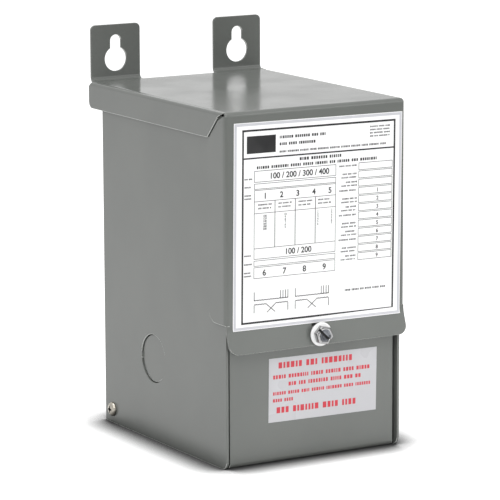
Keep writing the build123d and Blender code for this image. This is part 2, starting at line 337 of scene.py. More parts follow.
world = bpy.data.worlds.new("studio")
bpy.context.scene.world = world
world.use_nodes = True
air = world.node_tree
air.nodes.clear()
sky = air.nodes.new("ShaderNodeBackground")
sky.inputs["Color"].default_value = (1.0, 1.0, 1.0, 1.0)
sky_rays = air.nodes.new("ShaderNodeLightPath")
glossy = sky_rays.outputs["Is Glossy Ray"]
mirrored = calculated(air, "MAXIMUM", glossy, sky_rays.outputs["Is Transmission Ray"])
shown = calculated(air, "MAXIMUM", mirrored, sky_rays.outputs["Is Camera Ray"])
feed(air, sky.inputs["Strength"], ranged(air, shown, onto=(SKY_LIGHT, 1.0)))
world_out = air.nodes.new("ShaderNodeOutputWorld")
air.links.new(sky.outputs[0], world_out.inputs["Surface"])
print("Sky gives", SKY_LIGHT, "of white as light")

# %% [markdown]
# A wide soft box overhead and a smaller key lamp over the left shoulder of the camera light the
# sheet metal. A strip behind the case and a small lamp at its front right draw thin light lines
# along the bends, and a white card that lies before the case lights the lower front. All are
# weak, because a strong lamp would make the grey look like another.

# %% Soft box and key lamp
OVERHEAD_POWER = 16.0
OVERHEAD_SIZE = 1.6
OVERHEAD_PLACE = Vector((-0.2, -0.1, 1.9))
KEY_POWER = 11.6
KEY_SIZE = 0.65
KEY_PLACE = Vector((-1.5, -1.5, 1.6))
STRIP_POWER = 1.6
STRIP_SIZE = 0.6
STRIP_PLACE = Vector((0.15, 1.6, 1.0))
RIM_POWER = 0.7
RIM_SIZE = 0.3
RIM_PLACE = Vector((1.0, -1.5, 0.95))
CARD_POWER = 0.85
CARD_SIZE = 0.35
CARD_PLACE = Vector((0.06, -0.45, 0.03))


def studio_lamp(name, shape, size, power, place):
    """An area lamp that looks at the case."""
    lamp_data = bpy.data.lights.new(name, "AREA")
    lamp_data.shape = shape
    lamp_data.size = size
    lamp_data.energy = power
    lamp = bpy.data.objects.new(name, lamp_data)
    bpy.context.collection.objects.link(lamp)
    lamp.location = place
    lamp.rotation_euler = (-place).to_track_quat("-Z", "Y").to_euler()
    return lamp


studio_lamp("overhead", "SQUARE", OVERHEAD_SIZE, OVERHEAD_POWER, OVERHEAD_PLACE)
studio_lamp("key", "DISK", KEY_SIZE, KEY_POWER, KEY_PLACE)
studio_lamp("strip", "SQUARE", STRIP_SIZE, STRIP_POWER, STRIP_PLACE)
studio_lamp("rim", "DISK", RIM_SIZE, RIM_POWER, RIM_PLACE)
card = studio_lamp("card", "SQUARE", CARD_SIZE, CARD_POWER, CARD_PLACE)
card.visible_glossy = False
card.visible_camera = False

bpy.context.scene.view_settings.view_transform = "Standard"
print("Lamps of", OVERHEAD_POWER, KEY_POWER, STRIP_POWER, RIM_POWER, CARD_POWER, "W")

# %% [markdown]
# ## Shared effects
# Three effects come back in several finishes: the fine ripple of sprayed enamel or pressed
# metal, the slow unevenness of any large surface, and small grit. Each is a
# node group on Object coordinates, so it stays on the piece, at a scale in millimetres.

# %% Build the shared effects
DRIFT_SPAN = (0.35, 0.65)


def new_group(name, result, *inputs):
    """A node group with one result and named inputs, and its own entry and exit nodes."""
    group = bpy.data.node_groups.new(name, "ShaderNodeTree")
    for label, value in inputs:
        socket = group.interface.new_socket(label, in_out="INPUT", socket_type="NodeSocketFloat")
        socket.default_value = value
    group.interface.new_socket(result, in_out="OUTPUT", socket_type="NodeSocketFloat")
    return group, group.nodes.new("NodeGroupInput"), group.nodes.new("NodeGroupOutput")


def size_to_scale(group, entry, socket):
    """Turn a size in millimetres into the scale of a texture in metres."""
    return calculated(group, "DIVIDE", 1.0 / MM, entry.outputs[socket])


def object_noise(group, entry, socket, detail):
    """Noise on Object coordinates whose size is an input of the group."""
    place = group.nodes.new("ShaderNodeTexCoord")
    noise = group.nodes.new("ShaderNodeTexNoise")
    noise.inputs["Detail"].default_value = detail
    group.links.new(place.outputs["Object"], noise.inputs["Vector"])
    group.links.new(size_to_scale(group, entry, socket), noise.inputs["Scale"])
    return noise.outputs["Fac"]


def ripple_group():
    """Height of a fine ripple: one wave size over a second, finer one."""
    sizes = (("Size", 1.4), ("Fine size", 0.35), ("Fine share", 0.3))
    group, entry, exit_node = new_group("ripple", "Height", *sizes)
    wide = object_noise(group, entry, "Size", 1.0)
    fine = object_noise(group, entry, "Fine size", 0.0)
    blend = group.nodes.new("ShaderNodeMix")
    group.links.new(entry.outputs["Fine share"], blend.inputs[0])
    group.links.new(wide, blend.inputs[2])
    group.links.new(fine, blend.inputs[3])
    group.links.new(blend.outputs[0], exit_node.inputs["Height"])
    return group


def drift_group():
    """A slow uneven mask from 0 to 1."""
    group, entry, exit_node = new_group("drift", "Mask", ("Size", 40.0))
    noise = object_noise(group, entry, "Size", 3.0)
    group.links.new(ranged(group, noise, DRIFT_SPAN), exit_node.inputs["Mask"])
    return group


def grit_group():
    """Small scattered specks, as a mask."""
    group, entry, exit_node = new_group("grit", "Mask", ("Size", 0.8), ("Amount", 0.35))
    place = group.nodes.new("ShaderNodeTexCoord")
    cells = group.nodes.new("ShaderNodeTexVoronoi")
    group.links.new(place.outputs["Object"], cells.inputs["Vector"])
    group.links.new(size_to_scale(group, entry, "Size"), cells.inputs["Scale"])
    speck = calculated(group, "LESS_THAN", cells.outputs["Distance"], entry.outputs["Amount"])
    group.links.new(speck, exit_node.inputs["Mask"])
    return group


RIPPLE = ripple_group()
DRIFT = drift_group()
GRIT = grit_group()
print("Effects:", RIPPLE.name, DRIFT.name, GRIT.name)

# %% [markdown]
# ## Finishes
# Every finish here is the Principled shader with a colour that drifts a little between two near
# tones, a roughness that drifts with it, and a bump. One function wires that up, and each finish
# then says its own numbers. A number that is the same all over stays on the shader's socket.

# %% One function for all finishes
def placed(tree, effect, *values):
    """A shared effect in a material, with values of its own, and what comes out of it."""
    step = tree.nodes.new("ShaderNodeGroup")
    step.node_tree = effect
    for label, value in values:
        step.inputs[label].default_value = value
    return step.outputs[0]


def finish_material(name, light, dark, rough, ripple, bump, drift_size=40.0, metallic=0.0, grit=None):
    """A Principled material. rough is a low and a high value, ripple is two sizes in mm, and
    bump is a height in mm."""
    material = bpy.data.materials.new(name)
    material.use_nodes = True
    tree = material.node_tree
    shader = tree.nodes["Principled BSDF"]
    shader.inputs["Metallic"].default_value = metallic
    drift = placed(tree, DRIFT, ("Size", drift_size))
    color = mixed(tree, drift, (*light, 1.0), (*dark, 1.0))
    if grit:
        specks = placed(tree, GRIT, ("Size", grit["size"]), ("Amount", grit["amount"]))
        color = mixed(tree, specks, color, (*grit["color"], 1.0))
    tree.links.new(color, shader.inputs["Base Color"])
    tree.links.new(ranged(tree, drift, onto=rough), shader.inputs["Roughness"])
    waves = placed(tree, RIPPLE, ("Size", ripple[0]), ("Fine size", ripple[1]))
    relief = tree.nodes.new("ShaderNodeBump")
    relief.inputs["Distance"].default_value = bump * MM
    tree.links.new(waves, relief.inputs["Height"])
    tree.links.new(relief.outputs["Normal"], shader.inputs["Normal"])
    return material


# %% [markdown]
# The case is sprayed in half-gloss grey enamel with a very fine ripple, and a lighter enamel paints
# a highlight on its lower edges. The lock screw is bright zinc, with painted shade that makes it
# duller in its dish and dark in its slot, and the pivot screws have a warmer zinc with painted
# shade in their cross. The resin is matt with grains of sand, and the plate and the sticker are
# satin films. Each finish is two near tones and a few numbers, so one can be changed without
# touching the others.

# %% Mix the finishes
enamel = finish_material(
    "grey_enamel", (0.147, 0.155, 0.145), (0.138, 0.146, 0.137), (0.17, 0.24), (1.6, 0.5), 0.006
)
# A lighter enamel for the downward bevels of lower edges: a painted highlight of light from the floor.
painted_highlight_enamel = finish_material(
    "painted_highlight_enamel", (0.60, 0.61, 0.59), (0.50, 0.51, 0.49), (0.17, 0.24), (1.6, 0.5), 0.006
)
bright_zinc = finish_material(
    "bright_zinc", (0.42, 0.42, 0.42), (0.28, 0.28, 0.285), (0.12, 0.22), (0.9, 0.15), 0.006, 6.0, 1.0
)
yellow_zinc = finish_material(
    "yellow_zinc", (0.47, 0.44, 0.38), (0.34, 0.32, 0.28), (0.2, 0.32), (0.8, 0.15), 0.008, 5.0, 1.0
)
# Duller zinc for the dish of the lock screw: painted shade in the recess.
painted_dish_shade_zinc = finish_material(
    "painted_dish_shade_zinc", (0.20, 0.21, 0.23), (0.12, 0.125, 0.14), (0.2, 0.3), (0.9, 0.15), 0.006, 3.0, 1.0
)
# Nearly black metal for the slot and the cross: painted shade deep in the recesses.
painted_recess_shade = finish_material(
    "painted_recess_shade", (0.05, 0.05, 0.052), (0.025, 0.025, 0.026), (0.4, 0.55), (0.9, 0.15), 0.01, 3.0, 1.0
)
compound = finish_material(
    "potting_compound", (0.042, 0.040, 0.038), (0.022, 0.021, 0.021), (0.55, 0.75), (3.0, 0.5), 0.25,
    25.0,
    grit={"size": 1.1, "amount": 0.28, "color": (0.11, 0.10, 0.085)},
)
plate_white = finish_material(
    "plate_white", (0.90, 0.90, 0.90), (0.87, 0.87, 0.87), (0.28, 0.34), (2.5, 0.6), 0.004
)
plate_margin = finish_material(
    "plate_margin", (0.55, 0.55, 0.585), (0.525, 0.525, 0.56), (0.26, 0.34), (2.5, 0.6), 0.004
)
sticker_pale = finish_material(
    "sticker_pale", (0.53, 0.53, 0.55), (0.505, 0.505, 0.525), (0.26, 0.34), (2.5, 0.6), 0.004
)
print_black = finish_material(
    "print_black", (0.012, 0.012, 0.013), (0.02, 0.02, 0.021), (0.4, 0.5), (0.7, 0.2), 0.003, 10.0
)
print_red = finish_material(
    "print_red", (0.60, 0.03, 0.05), (0.54, 0.04, 0.06), (0.4, 0.5), (0.7, 0.2), 0.003, 10.0
)
print("Finishes:", sorted(material.name for material in bpy.data.materials if material.use_nodes))

# %% [markdown]
# ## Bent and sprayed sheets
# The cover, the wrap of the walls, the door and the spacer are cut and bent sheet. Their forms
# are exact already, but their cut edges are as sharp as a knife, and enamel never leaves an edge
# like that. So each sheet is copied, its loose triangles are merged into whole faces, and a fine
# bevel rounds the cut edges, which then catch the light as enamelled edges do. The bevels that
# face down along the lower edges get a lighter enamel, a painted highlight of the light that the
# floor throws up onto them.

# %% Copy a sheet and round its cut edges
EDGE_ROUND = 0.28 * MM
STRAY = 0.1 * MM
CLOSE_POINTS = 0.01 * MM
FLAT_WITHIN = 0.6
PAINTED_HIGHLIGHT_SLOT = 1
HIGHLIGHT_NORMAL_BELOW = -0.1


def clean_copy(node, name):
    """A copy of a node of the frame, with whole faces instead of loose triangles."""
    piece = bpy.data.objects.new(name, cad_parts[node].data.copy())
    bpy.context.collection.objects.link(piece)
    merge_doubles(piece)
    edit(piece)
    bpy.ops.mesh.select_all(action="SELECT")
    bpy.ops.mesh.dissolve_limited(angle_limit=math.radians(FLAT_WITHIN))
    leave()
    piece.data.materials.clear()
    return piece


def pull_in(piece, source):
    """Put back the few points that a bevel throws off the sheet at nearly straight corners."""
    thrown = 0
    for point in piece.data.vertices:
        _, near, _, _ = source.closest_point_on_mesh(point.co)
        if (point.co - near).length > STRAY:
            point.co = near
            thrown += 1
    print(piece.name, "had", thrown, "points put back on the sheet")


def sprayed_sheet(node, name, body):
    """A copy of a sheet of the frame with rounded cut edges, in enamel."""
    piece = clean_copy(node, name)
    piece.data.materials.append(enamel)
    piece.data.materials.append(painted_highlight_enamel)
    round_edges(piece, EDGE_ROUND, PAINTED_HIGHLIGHT_SLOT)
    pull_in(piece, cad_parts[node])
    merge_doubles(piece, CLOSE_POINTS)
    # Only bevels that face down keep the lighter enamel, which paints a highlight there.
    for face in piece.data.polygons:
        if face.material_index == PAINTED_HIGHLIGHT_SLOT and face.normal.z > HIGHLIGHT_NORMAL_BELOW:
            face.material_index = 0
    smooth(piece)
    even_shading(piece)
    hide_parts(node)
    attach(piece, body)
    report(piece)
    return piece


cover = sprayed_sheet("cover", "sprayed_cover", "case")
sprayed_sheet("wall_wrap", "sprayed_walls", "case")
sprayed_sheet("wall_spacer", "sprayed_spacer", "case")
sprayed_sheet("door", "sprayed_door", "door")

# %% [markdown]
# ## Turned pieces
# Screw heads, shanks and washers are turned round an axis. A profile is drawn point by point by
# extruding one vertex, and spun through a full turn. The profile starts and ends on the axis, so
# the piece comes out closed. A thread is a zigzag in that profile.

# %% Spin a profile, and place what was spun
def turned(name, profile, steps=64):
    """A closed piece from a profile of (radius, height) points in mm, spun about Z."""
    bpy.ops.object.select_all(action="DESELECT")
    bpy.ops.mesh.primitive_plane_add(size=MM)
    piece = named(name)
    bpy.ops.object.mode_set(mode="EDIT")
    bpy.ops.mesh.select_mode(type="VERT")
    bpy.ops.mesh.select_all(action="SELECT")
    bpy.ops.mesh.merge(type="CENTER")
    bpy.ops.transform.translate(value=(profile[0][0] * MM, 0, profile[0][1] * MM))
    for here, there in zip(profile, profile[1:]):
        step = ((there[0] - here[0]) * MM, 0, (there[1] - here[1]) * MM)
        bpy.ops.mesh.extrude_region_move(TRANSFORM_OT_translate={"value": step})
    bpy.ops.mesh.select_all(action="SELECT")
    bpy.ops.mesh.spin(steps=steps, angle=math.tau, center=(0, 0, 0), axis=(0, 0, 1))
    bpy.ops.mesh.select_all(action="SELECT")
    bpy.ops.mesh.remove_doubles(threshold=0.0005 * MM)
    bpy.ops.mesh.normals_make_consistent(inside=False)
    leave()
    return piece


def thread_profile(radius, start, end, pitch=0.8, depth=0.35):
    """Zigzag profile points of a thread between two heights."""
    points = []
    height = start
    while height - end > pitch:
        points.append((radius - depth, height))
        points.append((radius, height - pitch / 2))
        height -= pitch
    return points


def stand(piece, place, turn):
    """Turn a piece that was made upright and put it in its place."""
    piece.rotation_euler = turn
    piece.location = place
    settle(piece)


def joined(name, *parts):
    """Join several parts into one piece."""
    bpy.ops.object.select_all(action="DESELECT")
    for part in parts:
        part.select_set(True)
    bpy.context.view_layer.objects.active = parts[0]
    bpy.ops.object.join()
    parts[0].name = name
    parts[0].data.name = name
    return parts[0]


def cut_away(piece, *cutters):
    """Cut shapes out of a piece and delete them."""
    for cutter in cutters:
        carve = piece.modifiers.new("cut", "BOOLEAN")
        carve.operation = "DIFFERENCE"
        carve.solver = "EXACT"
        carve.object = cutter
        apply_modifiers(piece)
        bpy.data.objects.remove(cutter)


def box_cutter(size, place, turn=(0, 0, 0)):
    """A block that is used to cut with."""
    bpy.ops.object.select_all(action="DESELECT")
    bpy.ops.mesh.primitive_cube_add(size=1, location=place, rotation=turn)
    cutter = named("cutter")
    cutter.scale = size
    settle(cutter)
    return cutter


# %% [markdown]
# ## Lock screw
# One slotted hex screw with a washer face holds the door shut. Its head is indented: the slot
# and a shallow dish are pressed into the top. Washer face and shank are spun in one piece.

# %% Spin the washer face and the shank
LOCK_Z = 72.8
WASHER_R = 6.8
WASHER_HEIGHT = 1.3
HEAD_HEIGHT = 3.6
LOCK_SHANK_R = 2.5
FACING_FRONT = (math.radians(90), 0, 0)
lock_low, lock_high = (Vector(corner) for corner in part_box("lock_screw"))
lock_seat = lock_low.y + (WASHER_HEIGHT + HEAD_HEIGHT) * MM
lock_shank = (lock_high.y - lock_seat) / MM

washer_profile = [(0, WASHER_HEIGHT), (4.6, WASHER_HEIGHT), (5.9, 1.15), (6.55, 0.85)]
washer_profile += [(WASHER_R, 0.5), (WASHER_R, 0.15), (6.6, 0), (LOCK_SHANK_R, 0)]
washer_profile += thread_profile(LOCK_SHANK_R, -1.5, -lock_shank)
washer_profile += [(2.1, 0.6 - lock_shank), (1.7, -lock_shank), (0, -lock_shank)]
lock_body = turned("lock_body", washer_profile)
report(lock_body)

# %% [markdown]
# The hexagon is a six-sided cylinder with its top edge bevelled, and the dish and the slot are
# cut out of it. It stands a little sunk into the washer face, so that no gap can show.

# %% Cut the hexagon
HEAD_FLATS = 9.5
HEAD_SUNK = 0.5
HEAD_CHAMFER = 0.5
SLOT_TURN = math.radians(-43.0)
SLOT_SIZE = Vector((20.0, 1.4, 3.6)) * MM
HEAD_ROUND = 0.12 * MM
head_top = (WASHER_HEIGHT + HEAD_HEIGHT) * MM

bpy.ops.object.select_all(action="DESELECT")
bpy.ops.mesh.primitive_cylinder_add(
    vertices=6,
    radius=HEAD_FLATS / math.sqrt(3) * MM,
    depth=(HEAD_HEIGHT + HEAD_SUNK) * MM,
    location=(0, 0, (WASHER_HEIGHT + (HEAD_HEIGHT - HEAD_SUNK) / 2) * MM),
    rotation=(0, 0, SLOT_TURN),
)
lock_head = named("lock_head")
settle(lock_head)
edit(lock_head)
pick_faces(lock_head, lambda centre, normal: normal.z > 0.9)
bpy.ops.mesh.bevel(offset=HEAD_CHAMFER * MM, segments=3, affect="EDGES")
leave()
dish = turned("dish", [(0, 4.1), (2.6, 4.2), (3.6, 4.9), (3.8, 6.0), (0, 6.0)])
slot = box_cutter(SLOT_SIZE, (0, 0, head_top), (0, 0, SLOT_TURN))
cut_away(lock_head, dish, slot)
round_edges(lock_head, HEAD_ROUND)
report(lock_head)

# %% [markdown]
# The faces of the dish and of the slot are found by their place and get a duller and a darker
# zinc: painted shade where little light reaches into the recess.

# %% Darken the recess and seat the screw
SLOT_SHADE_DEPTH = 0.9 * MM
SLOT_REACH = 4.3 * MM
SLOT_SPARE = 0.02 * MM
DISH_REACH = 3.7 * MM
DISH_FROM = 0.1 * MM
DISH_UP = 0.1

for finish in (bright_zinc, painted_dish_shade_zinc, painted_recess_shade):
    lock_head.data.materials.append(finish)
across_slot = Vector((-math.sin(SLOT_TURN), math.cos(SLOT_TURN), 0))
for face in lock_head.data.polygons:
    depth = head_top - face.center.z
    from_axis = math.hypot(face.center.x, face.center.y)
    in_slot = abs(face.center.dot(across_slot)) < SLOT_SIZE.y / 2 + SLOT_SPARE
    if in_slot and depth > SLOT_SHADE_DEPTH and from_axis < SLOT_REACH:
        face.material_index = 2
    elif from_axis < DISH_REACH and depth > DISH_FROM and face.normal.z > DISH_UP:
        face.material_index = 1
lock_screw = joined("slotted_lock_screw", lock_head, lock_body)
stand(lock_screw, (0, lock_seat, LOCK_Z * MM), FACING_FRONT)
smooth(lock_screw)
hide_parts("lock_screw")
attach(lock_screw, "door")
report(lock_screw)

# %% [markdown]
# ## Pivot screws
# The door hangs on two pan-head screws, one through each side wall. The left one is spun, and
# its cross is cut with two blocks and a cone. The right one is a mirrored copy with a mesh of
# its own, whose normals are then turned out again, because a mirror turns a mesh inside out.

# %% Model the left pivot screw
pivot_low, pivot_high = (Vector(corner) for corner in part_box("left_pivot_screw"))
pivot_y = (pivot_low.y + pivot_high.y) / 2
pivot_z = (pivot_low.z + pivot_high.z) / 2
PAN_R = (pivot_high.y - pivot_low.y) / 2 / MM
PAN_HEIGHT = 2.4
CROSS_SIZE = Vector((4.2, 0.9, 1.8)) * MM
RECESS_FLOOR = 0.15
RECESS_TOP = PAN_HEIGHT - 0.3
RECESS_REACH = 2.0
PIVOT_SHANK_R = 2.0
pivot_seat = pivot_low.x + PAN_HEIGHT * MM
pivot_shank = (pivot_high.x - pivot_seat) / MM

pan = [(0, PAN_HEIGHT), (1.7, 2.34), (2.8, 2.1), (3.6, 1.6), (4.0, 1.0)]
pan += [(PAN_R, 0.45), (PAN_R, 0.1), (4.0, 0), (PIVOT_SHANK_R, 0)]
pan += thread_profile(PIVOT_SHANK_R, -1.5, -pivot_shank, pitch=0.7, depth=0.3)
pan += [(1.5, -pivot_shank), (0, -pivot_shank)]
left_pivot = turned("left_pan_screw", pan)
cross_place = (0, 0, PAN_HEIGHT * MM)
cut_away(
    left_pivot,
    box_cutter(CROSS_SIZE, cross_place),
    box_cutter(CROSS_SIZE, cross_place, (0, 0, math.radians(90))),
    turned("cone", [(0, 0.2), (0.7, 0.5), (1.25, 2.3), (1.3, 4.0), (0, 4.0)], 24),
)
left_pivot.data.materials.append(yellow_zinc)
left_pivot.data.materials.append(painted_recess_shade)
# The faces inside the cross get the nearly black metal, painted shade in the recess.
for face in left_pivot.data.polygons:
    from_axis = math.hypot(face.center.x, face.center.y)
    if RECESS_FLOOR * MM < face.center.z < RECESS_TOP * MM and from_axis < RECESS_REACH * MM:
        face.material_index = 1
stand(left_pivot, (pivot_seat, pivot_y, pivot_z), (0, math.radians(-90), 0))
smooth(left_pivot)
report(left_pivot)

# %% Mirror it for the right side
right_pivot = left_pivot.copy()
right_pivot.data = left_pivot.data.copy()
right_pivot.name = "right_pan_screw"
bpy.context.collection.objects.link(right_pivot)
right_pivot.scale.x = -1
settle(right_pivot)
outwards(right_pivot)
smooth(right_pivot)
for piece, node in ((left_pivot, "left_pivot_screw"), (right_pivot, "right_pivot_screw")):
    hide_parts(node)
    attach(piece, "case")

# %% [markdown]
# ## Nuts and the bonding screw
# The small hardware inside the wiring space keeps the frame's own form. Its edges are rounded
# by the same copy and bevel as the sheets, and it gets zinc instead of enamel.

# %% Dress the small hardware
NUT_ROUND = 0.15 * MM

for node, name, body in (
    ("left_pivot_nut", "left_hex_nut", "case"),
    ("right_pivot_nut", "right_hex_nut", "case"),
    ("bond_screw", "bond_hex_screw", "case"),
    ("lock_nut", "clinch_nut", "door"),
):
    small = clean_copy(node, name)
    round_edges(small, NUT_ROUND)
    smooth(small)
    small.data.materials.append(bright_zinc)
    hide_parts(node)
    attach(small, body)
    report(small)

# %% [markdown]
# ## Potting compound
# The core and coil are cast in resin and sand, poured while the case lies upside down. Only the
# underside shows, through the open door: it is matt, nearly black, a little sunken in the middle
# and higher where the resin creeps up the walls. A block is cut into a grid underneath, and its
# points are moved by a soft displacement.

# %% Cast the block
CREEP = 0.9 * MM
CREEP_STEEP = 12
EDGE_STEEP = 30
SWELL = 0.2
SWELL_ACROSS = 61
SWELL_ALONG = 47
POUR_CUTS = 40

core_size = core_high - core_low
middle = (core_low + core_high) / 2
bpy.ops.object.select_all(action="DESELECT")
bpy.ops.mesh.primitive_cube_add(size=1, location=middle)
block = named("potted_block")
block.scale = core_size
settle(block)
edit(block)
pick_faces(block, lambda centre, normal: normal.z < -0.9)
bpy.ops.mesh.subdivide(number_cuts=POUR_CUTS)
leave()
for point in block.data.vertices:
    if point.co.z < core_low.z + 0.001 * MM:
        away_x = abs(point.co.x - middle.x) / (core_size.x / 2)
        away_y = abs(point.co.y - middle.y) / (core_size.y / 2)
        wall_near = max(away_x, away_y) ** CREEP_STEEP
        across = math.sin(point.co.x * SWELL_ACROSS + 1.3)
        along = math.sin(point.co.y * SWELL_ALONG + 0.4)
        inside = 1.0 - max(away_x, away_y) ** EDGE_STEEP
        sunk = 1.0 - SWELL + SWELL * across * along
        point.co.z += CREEP * (1.0 - wall_near) * sunk * inside
smooth(block, degrees=40)
block.data.materials.append(compound)
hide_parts("potted_core")
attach(block, "case")
report(block)

# %% [markdown]
# ## Rating plate
# The plate is a thin printed film on the front, white with a pale margin. Its lower edge lies
# over the start of the flared lip, so it can't be a flat card: it is cut across where the lip
# bends, and a Shrinkwrap lays it on the cover. It was stuck on by hand, and leans a
# little. Its print is generic: ruled boxes, plain numbers and rows of small blocks.

# %% Lay the plate on the cover
FILM = 0.12 * MM
FILM_LIFT = 0.01 * MM
PLATE_CENTRE = Vector((59.9, 136.4))
PLATE_SIZE = Vector((109.6, 115.8))
PLATE_LEAN = -0.65
PLATE_RIM = 0.35 * MM
PLATE_MARGIN = 1.5 * MM
PLATE_CUTS = (83.6, 82.6, 81.6, 80.6, 79.6, 78.7)
plate_middle = Vector((cover_left + PLATE_CENTRE.x * MM, cover_front, PLATE_CENTRE.y * MM))


def face_front(piece, place, lean):
    """Turn a flat piece that lies at the origin to the front, lean it, and put it in place."""
    for turn in (FACING_FRONT, (0, math.radians(-lean), 0)):
        piece.rotation_euler = turn
        settle(piece)
    piece.location = place
    settle(piece)


def thicken(piece, thickness):
    """Give a flat piece its thickness, towards the side that it faces."""
    solid = piece.modifiers.new("thickness", "SOLIDIFY")
    solid.thickness = thickness
    solid.offset = 1.0
    apply_modifiers(piece)


def film_on(name, middle_point, size, lean, insets=()):
    """A flat film that faces forward, with insets for its margins if any are given."""
    bpy.ops.object.select_all(action="DESELECT")
    bpy.ops.mesh.primitive_plane_add(size=1)
    film = named(name)
    film.scale = (size.x * MM, size.y * MM, 1)
    settle(film)
    face_front(film, middle_point, lean)
    edit(film)
    bpy.ops.mesh.select_all(action="SELECT")
    for inset in insets:
        bpy.ops.mesh.inset(thickness=inset)
    leave()
    return film


plate = film_on("rating_plate", plate_middle, PLATE_SIZE, PLATE_LEAN, (PLATE_RIM, PLATE_MARGIN))
plate.data.materials.append(plate_white)
plate.data.materials.append(plate_margin)

# The field is the largest face, and the four faces of the margin come next
by_area = sorted(plate.data.polygons, key=lambda face: face.area, reverse=True)
for face in by_area[1:5]:
    face.material_index = 1
edit(plate)
for height in PLATE_CUTS:
    bpy.ops.mesh.select_all(action="SELECT")
    bpy.ops.mesh.bisect(plane_co=(0, 0, height * MM), plane_no=(0, 0, 1))
leave()
lay = plate.modifiers.new("lay", "SHRINKWRAP")
lay.target = cover
lay.wrap_method = "NEAREST_SURFACEPOINT"
lay.wrap_mode = "ABOVE_SURFACE"
lay.offset = FILM_LIFT
apply_modifiers(plate)
thicken(plate, FILM)
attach(plate, "case")
report(plate)

# %% [markdown]
# ## Printing
# Ink is a very thin layer on the film. Every bar is a plane added at its place in edit mode, so a
# whole print is one mesh. The printer's plane has its own two directions: across from the middle
# of the plate, and up, both in millimetres, turned with the lean of the plate.

# %% Helpers for ink
INK = 0.02 * MM
INK_NEAR = 0.00001 * MM
BLOCK_WIDTHS = (0.3, 0.46, 0.46, 0.56)
BLOCK_FOOT = 0.08
BLOCK_TOP = 0.85
BLOCK_GAP = 0.2
GROUP_GAP = 0.5
COIL_RISE = 0.6
COIL_LINE = 0.38


class Print:
    """One print in one ink: it collects bars on a leaning plane that faces forward."""

    def __init__(self, name, origin, lean):
        bpy.ops.object.select_all(action="DESELECT")
        bpy.ops.mesh.primitive_plane_add(size=1)
        self.piece = named(name)
        self.origin = origin
        self.lean = lean
        bpy.ops.object.mode_set(mode="EDIT")
        bpy.ops.mesh.delete(type="FACE")

    def bar(self, left, low, right, high):
        """A filled rectangle between two corners."""
        self.stroke((left, (low + high) / 2), (right, (low + high) / 2), high - low)

    def stroke(self, start, end, width):
        """A straight line of some width between two points."""
        run = Vector(end) - Vector(start)
        half = (Vector(start) + Vector(end)) / 2
        bpy.ops.mesh.primitive_plane_add(size=1, enter_editmode=False, location=(0, 0, 0))
        bpy.ops.transform.resize(value=(run.length * MM, width * MM, 1))
        bpy.ops.transform.rotate(
            value=-math.atan2(run.y, run.x), orient_axis="Z", center_override=(0, 0, 0)
        )
        bpy.ops.transform.translate(value=(half.x * MM, half.y * MM, 0))

    def frame(self, left, low, right, high, width):
        """Four strokes round a box."""
        out = width / 2
        self.stroke((left - out, low), (right + out, low), width)
        self.stroke((left - out, high), (right + out, high), width)
        self.stroke((left, low), (left, high), width)
        self.stroke((right, low), (right, high), width)

    def coil(self, start, foot, pitch, turns):
        """A winding: a zigzag from one end, to the left where the pitch is below zero."""
        for turn in range(turns):
            here = start + turn * pitch
            peak = (here + pitch / 2, foot + COIL_RISE)
            self.stroke((here, foot), peak, COIL_LINE)
            self.stroke(peak, (here + pitch, foot), COIL_LINE)

    def blocks(self, left, base, right, height, rng, top=BLOCK_TOP):
        """A row of small blocks in groups of uneven length."""
        along = left
        while along < right - height:
            for _ in range(rng.randint(3, 8)):
                wide = rng.choice(BLOCK_WIDTHS) * height
                if along + wide > right:
                    break
                self.bar(along, base + BLOCK_FOOT * height, along + wide, base + top * height)
                along += wide + BLOCK_GAP * height
            along += GROUP_GAP * height

    def done(self, material):
        """Thicken the ink, lean it with the plate and put it in its place."""
        leave()
        merge_doubles(self.piece, INK_NEAR)
        thicken(self.piece, INK)
        face_front(self.piece, self.origin, self.lean)
        self.piece.data.materials.append(material)
        report(self.piece)
        return self.piece


# %% [markdown]
# The plate's print is one mesh in black. It is drawn from the outside in: a heavy line round the
# field, a rule under the head, and then thin lines for the boxes of the table on the left.

# %% Rule the table of the plate
HAIR = 0.3
COLUMN_LINE = 0.44
RULE = 0.85
KEYLINE = 1.1
PRINT_CENTRE = Vector((60.3, 136.1))
PRINT_LIFT = 0.012 * MM
FIELD_HALF = Vector((49.4, 53.7))
TABLE_LEFT = -42.0
TABLE_RIGHT = 10.7
TABLE_ROWS = (
    (24.9, 31.0), (21.0, 23.9), (14.0, 20.3), (-12.2, 14.0),
    (-18.1, -12.2), (-22.0, -19.1), (-28.9, -22.8),
)
SEED = 7

rng = random.Random(SEED)
print_y = cover_front - FILM - PRINT_LIFT
print_middle = Vector((cover_left + PRINT_CENTRE.x * MM, print_y, PRINT_CENTRE.y * MM))
rules = Print("plate_rules", print_middle, PLATE_LEAN)
rules.frame(-FIELD_HALF.x, -FIELD_HALF.y, FIELD_HALF.x, FIELD_HALF.y, KEYLINE)
rules.stroke((-FIELD_HALF.x, 38.3), (FIELD_HALF.x, 38.3), RULE)
for low, high in TABLE_ROWS:
    rules.frame(TABLE_LEFT, low, TABLE_RIGHT, high, HAIR)
for column in (-28.7, -15.6, -2.5):
    rules.stroke((column, -12.2), (column, 14.0), COLUMN_LINE)
rules.stroke((TABLE_LEFT, 7.4), (TABLE_RIGHT, 7.4), HAIR)
print("Table of", len(TABLE_ROWS), "rows")

# %% [markdown]
# A column of twelve even boxes stands on the right, with one or two short rows of small blocks
# before each. Their widths are random, from one fixed seed, so that every run prints the same.

